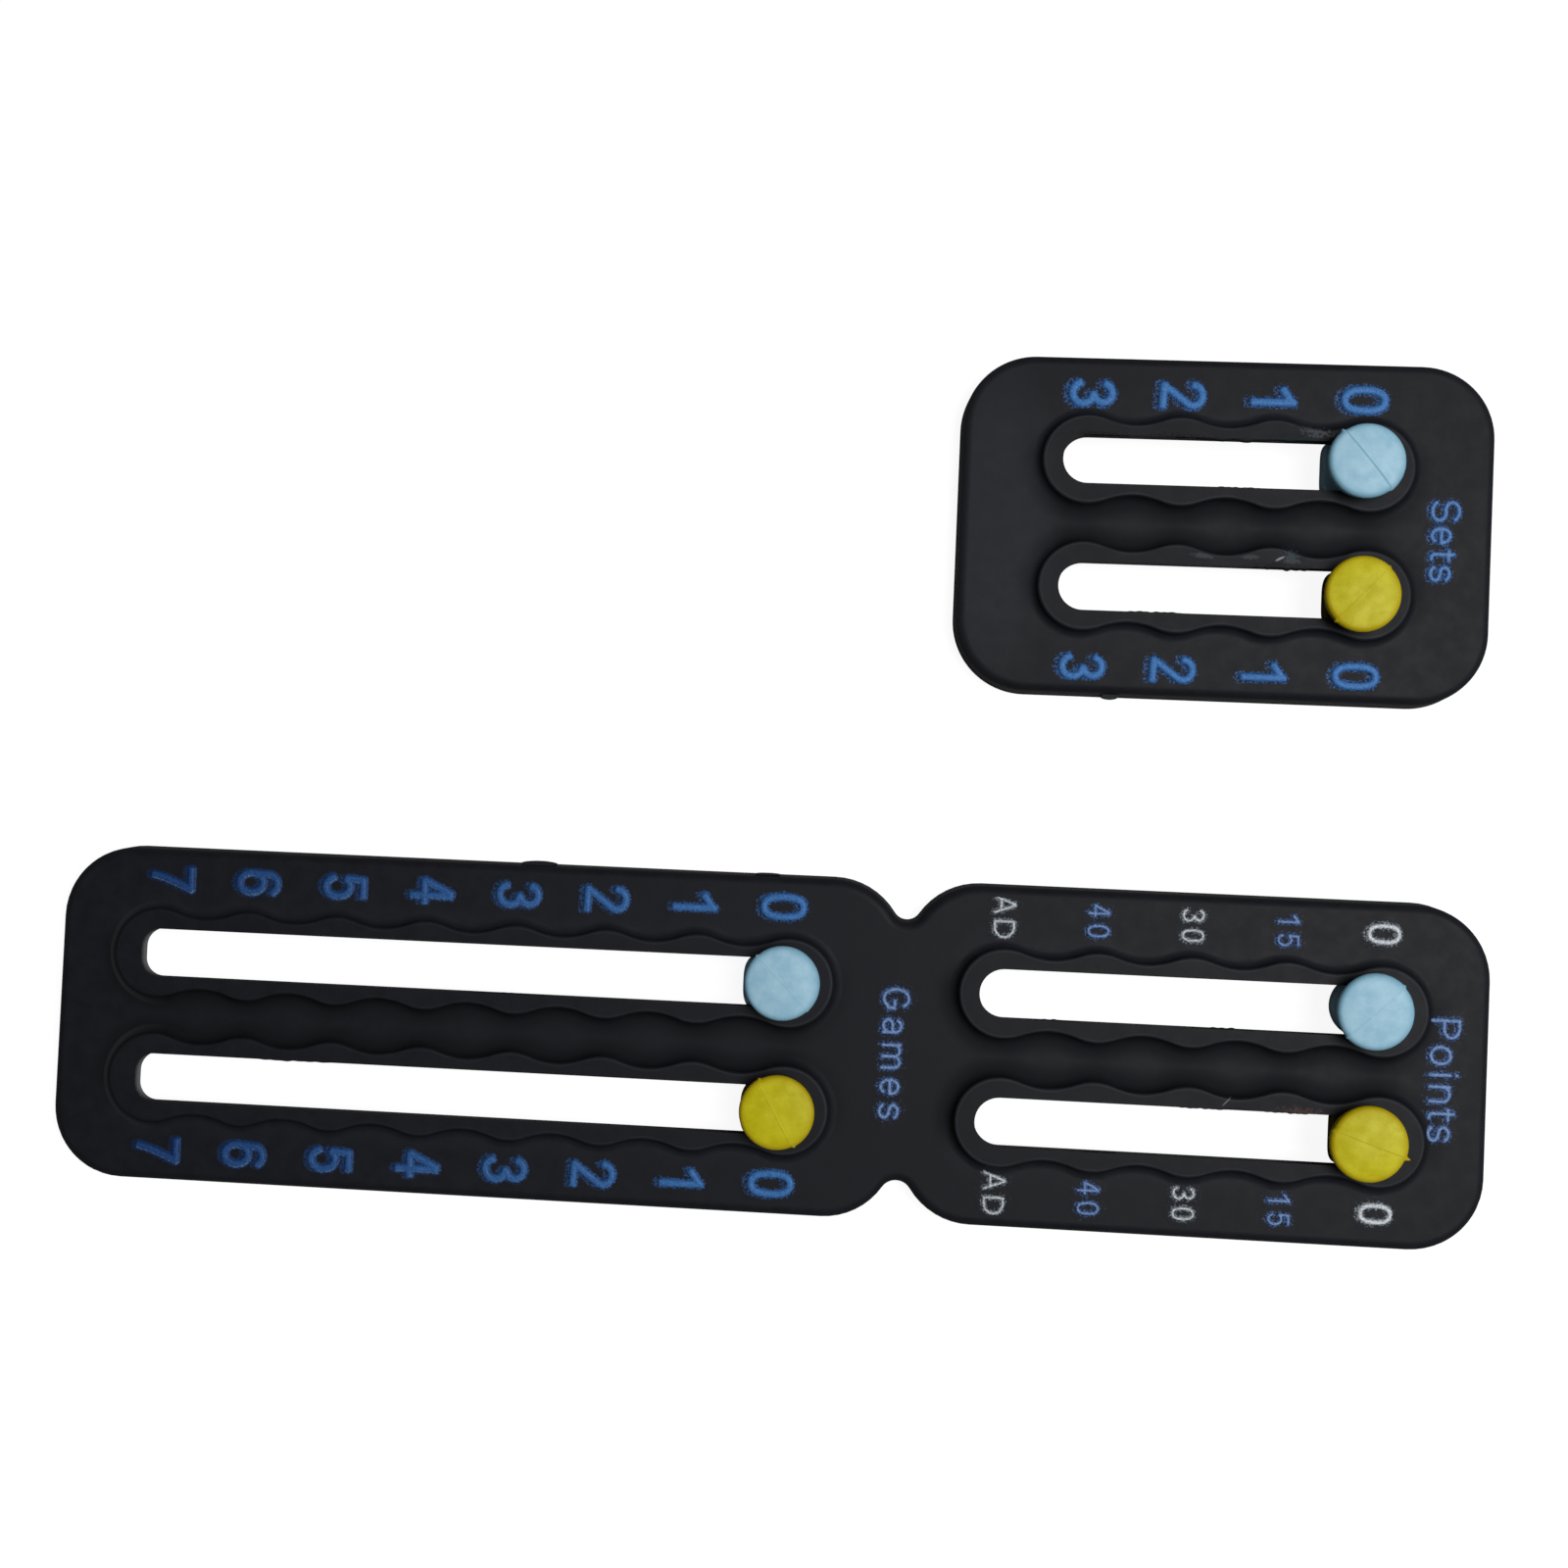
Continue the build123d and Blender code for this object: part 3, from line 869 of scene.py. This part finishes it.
# Pale and deep are the cloudy tones of the plastic, the third is painted shade on the neck and foot, and the
# last is painted shade on the shoulder of the head and along the mould line
bead_colours = {
    "blue": bead_material("blue_bead", (162, 199, 216), (144, 185, 206), (150, 188, 204), (108, 158, 180)),
    "yellow": bead_material("yellow_bead", (194, 186, 26), (180, 170, 0), (92, 78, 12), (166, 140, 8)),
}
print("bead materials:", sorted(bead_colours))


# %% Half section of a bead
bead_low, bead_high = (np.array(corner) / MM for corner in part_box("games_blue_bead"))
head_radius = (bead_high[0] - bead_low[0]) / 2
foot_radius, neck_radius = 3.15, 2.1
foot_top, head_bottom = 2.65, 4.55
neck_turn = 0.05  # above the foot's top, the part of the neck that leans over to the foot
head_flare, head_round, foot_round, head_crown = 0.45, 0.55, 0.4, 0.35
pole_radius = 0.12  # of the smallest ring, which a fan of triangles closes


def rounded(corner, radius, start, end, count=12):
    """Arc of that radius about corner, from the start angle to the end angle in degrees."""
    return bow(*corner, radius, radius, start, end, count)


def run(start, end, count):
    """Evenly spaced points from start to end, the last one left out."""
    share = np.linspace(0, 1, count, endpoint=False)[:, None]
    return np.array(start) * (1 - share) + np.array(end) * share


def bead_section():
    """Points (radius, height) from the middle of the head's dome down to the middle of the foot."""
    low, high = bead_low[2], bead_high[2]
    inner = head_radius - head_round
    reach = np.linspace(pole_radius, inner, 26)
    dome = np.stack([reach, high - head_crown * (reach / head_radius) ** 2], 1)
    head_edge = head_radius - head_flare
    return np.concatenate([
        dome,
        rounded((inner, dome[-1, 1] - head_round), head_round, 80, 5),
        run((head_radius, high - head_crown - head_round), (head_edge, head_bottom), 8),
        run((head_edge, head_bottom), (neck_radius, head_bottom), 5),
        run((neck_radius, head_bottom), (neck_radius, foot_top + neck_turn), 6),
        run((neck_radius, foot_top + neck_turn), (neck_radius, foot_top), 1),
        run((neck_radius, foot_top), (foot_radius, foot_top), 5),
        run((foot_radius, foot_top), (foot_radius, low + foot_round), 6),
        rounded((foot_radius - foot_round, low + foot_round), foot_round, 0, -90, 8),
        run((foot_radius - foot_round, low), (pole_radius, low), 6),
    ])


section = bead_section()
print("half section of", len(section), "points")


# %% Surface of a bead
turned_points = 180  # round the bead
crowding = 0.42  # of the angles towards the mould line
seam_width = 0.07
step_width = 0.12
flash_width = 0.16
deepest_step = 0.06
dimple_depth, dimple_width = 0.05, 0.9


def bead_surface(line_angle, step, flash, line_shift, lean, square):
    """The section turned round, as x, y and z by section point and angle, and how much painted shade
    each point takes. With q = r sin(angle - line_angle), the distance from the mould line, the head rises by
    a fine ridge 0.4 step exp(-(q / w)^2) and falls in a dimple of the same form about its middle. Each half
    is slid along the line by step * tanh(q / w), and flash adds a small fin to the radius at each end of
    the line. The foot's radius is divided by
    (|cos|^n + |sin|^n)^(1/n), a superellipse, and it sits off the middle by lean. Painted shade lies on the
    shoulder of the head, and on the mould line it is the fourth power of its step."""
    share = np.linspace(0, 2 * np.pi, turned_points, endpoint=False)
    angle = share - crowding * np.sin(2 * share)
    radius, height = section[:, :1], section[:, 1:]
    offset = radius * np.sin(angle)[None] - line_shift
    on_head = smooth(height, head_bottom, head_bottom + 0.8)
    seam = np.exp(-(offset / seam_width) ** 2)
    fin = np.zeros_like(offset)
    for turn, size in zip((0, np.pi), flash):
        gap = np.abs((angle - turn + np.pi) % (2 * np.pi) - np.pi) * radius
        fin = fin + size * np.exp(-(gap / flash_width) ** 2) * smooth(radius, head_radius - 0.3, head_radius)
    r = radius + fin * on_head
    u, v = r * np.cos(angle) + step * np.tanh(offset / step_width) * on_head, r * np.sin(angle)
    turned = radians(line_angle)
    x = u * np.cos(turned) - v * np.sin(turned)
    y = u * np.sin(turned) + v * np.cos(turned)
    z = height + on_head * (0.4 * step * seam - dimple_depth * np.exp(-(radius / dimple_width) ** 2))

    on_foot = 1 - smooth(height, foot_top, foot_top + neck_turn)
    direction = angle + turned
    squared = (np.abs(np.cos(direction)) ** square + np.abs(np.sin(direction)) ** square) ** (-1 / square)
    grown = 1 + on_foot * (squared - 1)
    # Painted shade on the shoulder of the head, and a painted shade line along the mould line
    shoulder = 0.7 * smooth(radius, head_radius - 0.9, head_radius)
    dark = np.maximum(shoulder, (step / deepest_step) ** 4 * seam) * on_head
    return x * grown + lean[0] * on_foot, y * grown + lean[1] * on_foot, z, dark


def tube_quads(index):
    """Quads between the rings of a closed tube, from the numbers of its points by ring and turn."""
    after = np.roll(index, -1, axis=1)
    return np.stack([index[:-1], index[1:], after[1:], after[:-1]], -1).reshape(-1, 4)


def bead_piece(name, body, colour, shift, *details):
    """The piece that stands for a bead of the CAD, moved by shift, with a fan at each of its poles."""
    low, high = (np.array(corner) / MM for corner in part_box(name))
    middle = (low + high)[:2] / 2 + np.array(shift)
    x, y, z, dark = bead_surface(*details)
    verts = np.stack([middle[0] + x, middle[1] + y, z], -1).reshape(-1, 3)
    poles = np.array([[*middle, section[0, 1] - dimple_depth], [*middle, section[-1, 1]]])
    points = (np.concatenate([verts, poles]) * MM).tolist()
    index = np.arange(x.size).reshape(x.shape)
    first, last = index[0].tolist(), index[-1].tolist()
    top, bottom = x.size, x.size + 1
    fans = [(top, a, b) for a, b in zip(first, first[1:] + first[:1])]
    fans += [(bottom, b, a) for a, b in zip(last, last[1:] + last[:1])]
    # Painted shade on the neck and the foot, under the head
    below_head = 1 - smooth(section[:, 1], head_bottom - 0.1, head_bottom + 0.3)
    lower = np.append(np.repeat(below_head, x.shape[1]), (0, 1))
    # rim holds the painted shade of the shoulder and of the mould line
    rim = np.append(dark.ravel(), (0, 0))
    faces = tube_quads(index).tolist() + fans
    piece = mesh_piece(f"{name}_moulding", points, faces, body, f"{colour}_bead", bead_colours[colour],
                       lower=lower, rim=rim)
    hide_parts(name)
    return piece


# How far the bead stands off its place in the slot, within its clearance, the angle of the mould line in
# degrees, step of the halves, the flash at its two ends, its distance from the middle and how far
# the foot sits off it, all in mm, and the exponent that squares the foot
mould_details = {
    "games_blue": ((-0.14, 0.15), -45, 0.03, (0.08, 0.1), 0.1, (-1.1, -0.35), 3.2),
    "games_yellow": ((-0.14, 0.15), -60, 0.04, (0.12, 0.16), -0.15, (-0.85, -0.35), 3.2),
    "points_blue": ((0.0, 0.2), 44, 0.04, (0.14, 0.1), 0.0, (0.0, 0.0), 2),
    "points_yellow": ((-0.2, 0.15), -18.5, 0.05, (0.5, 0.05), 0.1, (0.55, 0.0), 5),
    "sets_blue": ((0.0, 0.15), -50, 0.06, (0.1, 0.2), 0.1, (-0.15, 0.0), 5),
    "sets_yellow": ((0.05, -0.2), 47, 0.04, (0.08, 0.16), 0.0, (0.45, 0.0), 4),
}
for body, details in mould_details.items():
    piece = bead_piece(f"{body}_bead", body, body.split("_")[1], *details)
    print(piece.name, len(piece.data.polygons), "faces")


# %% [markdown]
# The slots were cut or moulded a little raggedly: small burrs of rubber hang into them here and there.
# Each burr is a thin sliver along the slot's edge whose reach comes and goes.

# %% Burrs along the slots
burr_stations = 48
burr_sides = 14
burr_drop = 0.42  # from the land's top to the middle of a burr
burr_half_height = 0.36
burr_sink = 0.04  # from the slot's wall back to the middle of a burr


def burr(first, last, edge, inward, reach, seed):
    """Points and faces of one sliver. Its section is an ellipse that is half sunk in the wall, and
    along X it stands out by reach * sin(pi t)^0.5 * (0.55 + a sum of three sines with random phases),
    t from 0 to 1."""
    random = np.random.default_rng(seed)
    share = np.linspace(0, 1, burr_stations)[:, None]
    phases = random.uniform(0, 6.3, 3)
    swing = sum(0.2 * np.sin(share * turns + phase) for turns, phase in zip((9, 23, 41), phases))
    out = reach * np.sqrt(np.sin(np.pi * share)) * np.clip(0.55 + swing, 0.05, 1)
    turn = np.linspace(0, 2 * np.pi, burr_sides, endpoint=False)[None]
    x = first + (last - first) * share + 0 * turn
    y = edge + inward * (np.cos(turn) * (out + 2 * burr_sink) - burr_sink)
    z = land_top - burr_drop + burr_half_height * np.sin(turn) + 0 * share  # 0 * share fills the grid
    points = np.stack([x, y, z], -1).reshape(-1, 3) * MM
    index = np.arange(x.size).reshape(x.shape)
    quads = tube_quads(index)[:, [0, 3, 2, 1]]
    if inward < 0:
        return points, quads[:, ::-1].tolist() + [index[0].tolist(), index[-1, ::-1].tolist()]
    return points, quads.tolist() + [index[0, ::-1].tolist(), index[-1].tolist()]


# First and last x, y of the slot's edge, which way is inward, and reach, all in mm
burrs = {
    "long_plate": ((27.5, 33.0, 4.0, 1, 0.14), (44.0, 50.5, 4.0, 1, 0.16), (51.5, 56.5, -4.0, -1, 0.12),
                   (43.0, 48.0, -4.0, -1, 0.12), (33.5, 37.0, -9.0, 1, 0.16), (-52.0, -44.0, -4.0, -1, 0.12),
                   (-30.0, -22.0, 4.0, 1, 0.1)),
    "small_plate": ((40.2, 54.5, 63.85, -1, 0.3), (30.6, 35.6, 63.85, -1, 0.1), (48.5, 54.8, 50.85, -1, 0.28),
                    (36.0, 41.5, 45.85, 1, 0.14), (44.0, 49.0, 58.85, 1, 0.12)),
}
for body, places in burrs.items():
    verts, faces = [], []
    for number, place in enumerate(places):
        points, sides = burr(*place, seed=number)
        faces += [[v + len(verts) for v in side] for side in sides]
        verts += points.tolist()
    mesh_piece(f"{body}_burrs", verts, faces, body, "black_rubber", black_rubber)
    print(body, len(places), "burrs")


# %% [markdown]
# A box's two corners are turned into plain lists. The size of what the camera sees has to stay the
# size of the CAD model.

# %% Corners of boxes
def corners(box):
    """The two corners of a box as plain lists."""
    return [[float(v) for v in corner] for corner in box]
